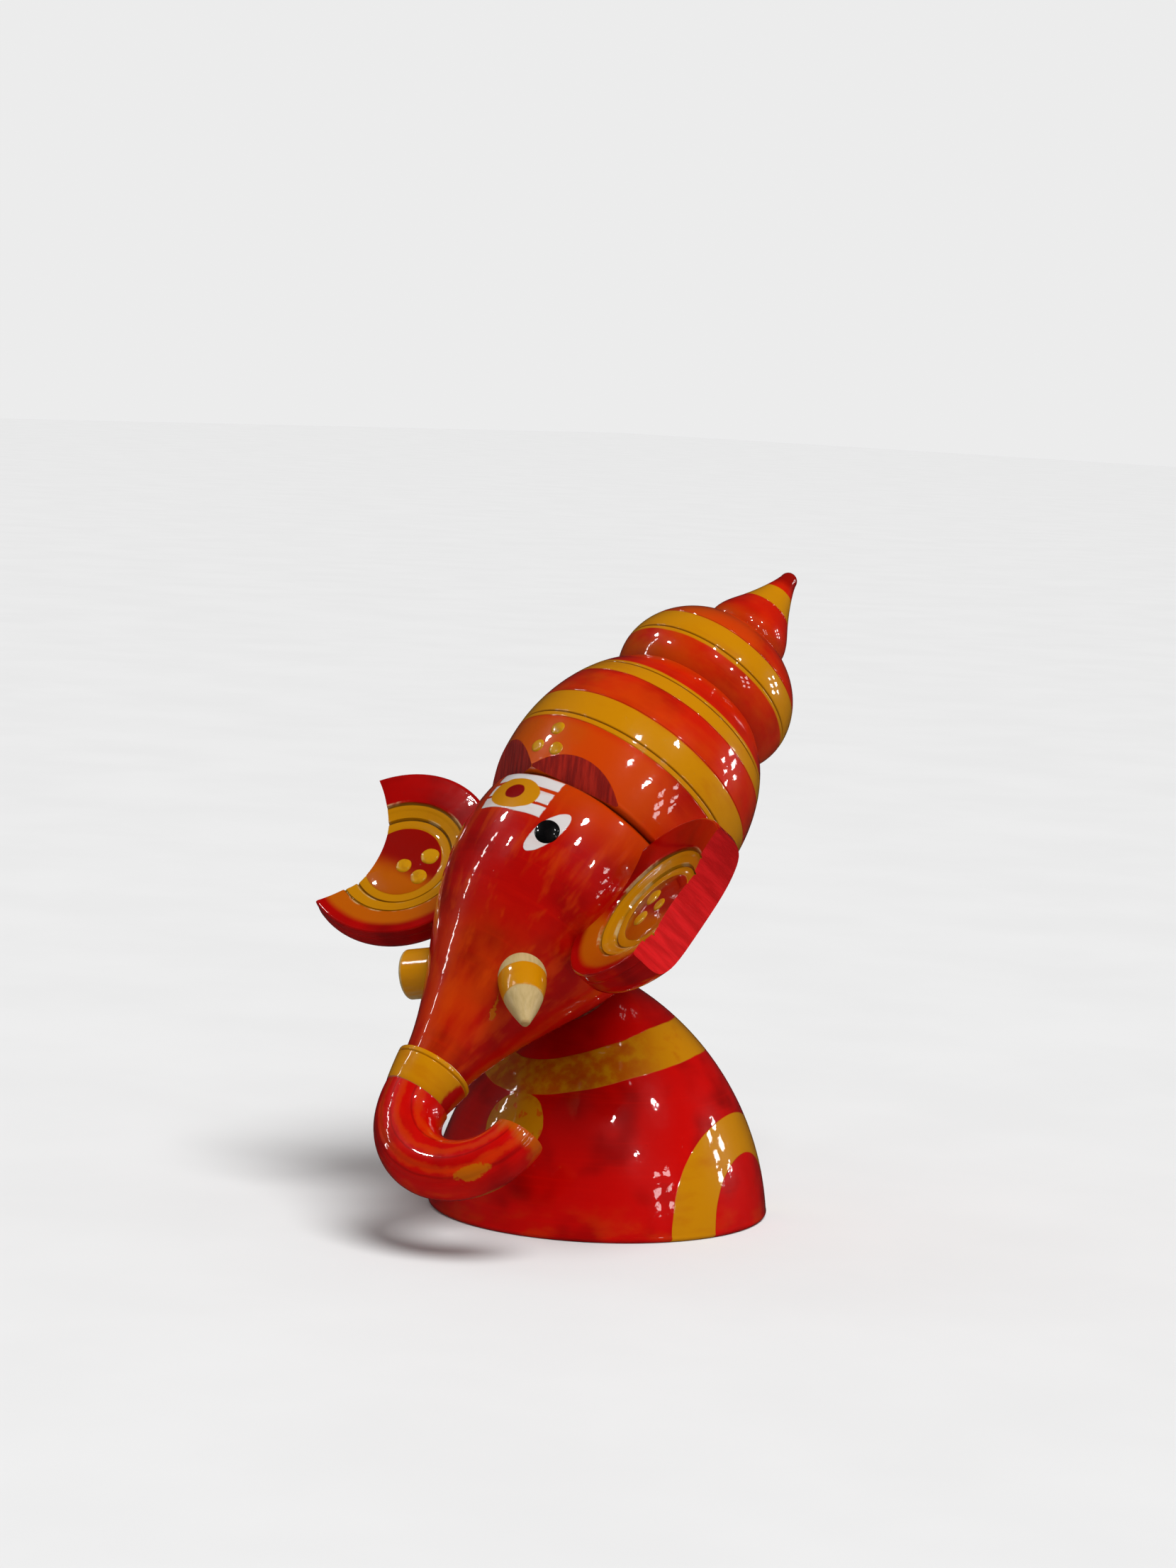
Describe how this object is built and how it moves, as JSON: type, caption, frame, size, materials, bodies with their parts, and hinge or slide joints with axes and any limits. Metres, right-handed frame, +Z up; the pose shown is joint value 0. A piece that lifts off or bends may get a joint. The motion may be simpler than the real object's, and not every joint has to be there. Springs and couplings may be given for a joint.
{
  "type": "ganesha idol",
  "caption": "Lacquered turned-wood Ganesha bust: domed body, pear-shaped elephant head with curled trunk, dish ears, tusks and a tiered pointed crown, pegged and glued.",
  "frame": {"origin": "centre of the flat underside of the body", "axes": "+Z up; the idol faces -Y; +X is the idol's own left, the side of the whole tusk"},
  "size_m": [0.1009, 0.118, 0.1317],
  "materials": {
    "body_lacquer": "high-gloss red lacquer on turned wood, painted yellow bands",
    "head_lacquer": "high-gloss orange-red lacquer on turned wood",
    "crown_lacquer": "high-gloss red and yellow lacquer on turned wood, two shaved flats in bare wood",
    "trunk_lacquer": "high-gloss red lacquer on turned wood, worn through at the edges",
    "ear_lacquer": "high-gloss red and yellow lacquer on turned wood, cut side in stained bare wood",
    "tusk_wood": "bare pale wood with a yellow lacquer band",
    "peg_wood": "bare wood, glued"
  },
  "bodies": {
    "root": {"body": "body_lacquer", "head": "head_lacquer", "crown": "crown_lacquer", "trunk_curl": "trunk_lacquer", "ear_left": "ear_lacquer", "ear_right": "ear_lacquer", "tusk_whole": "tusk_wood", "tusk_broken": "tusk_wood", "neck_peg": "peg_wood", "crown_peg": "peg_wood", "trunk_peg": "peg_wood", "ear_peg_left": "peg_wood", "ear_peg_right": "peg_wood"}
  },
  "joints": []
}
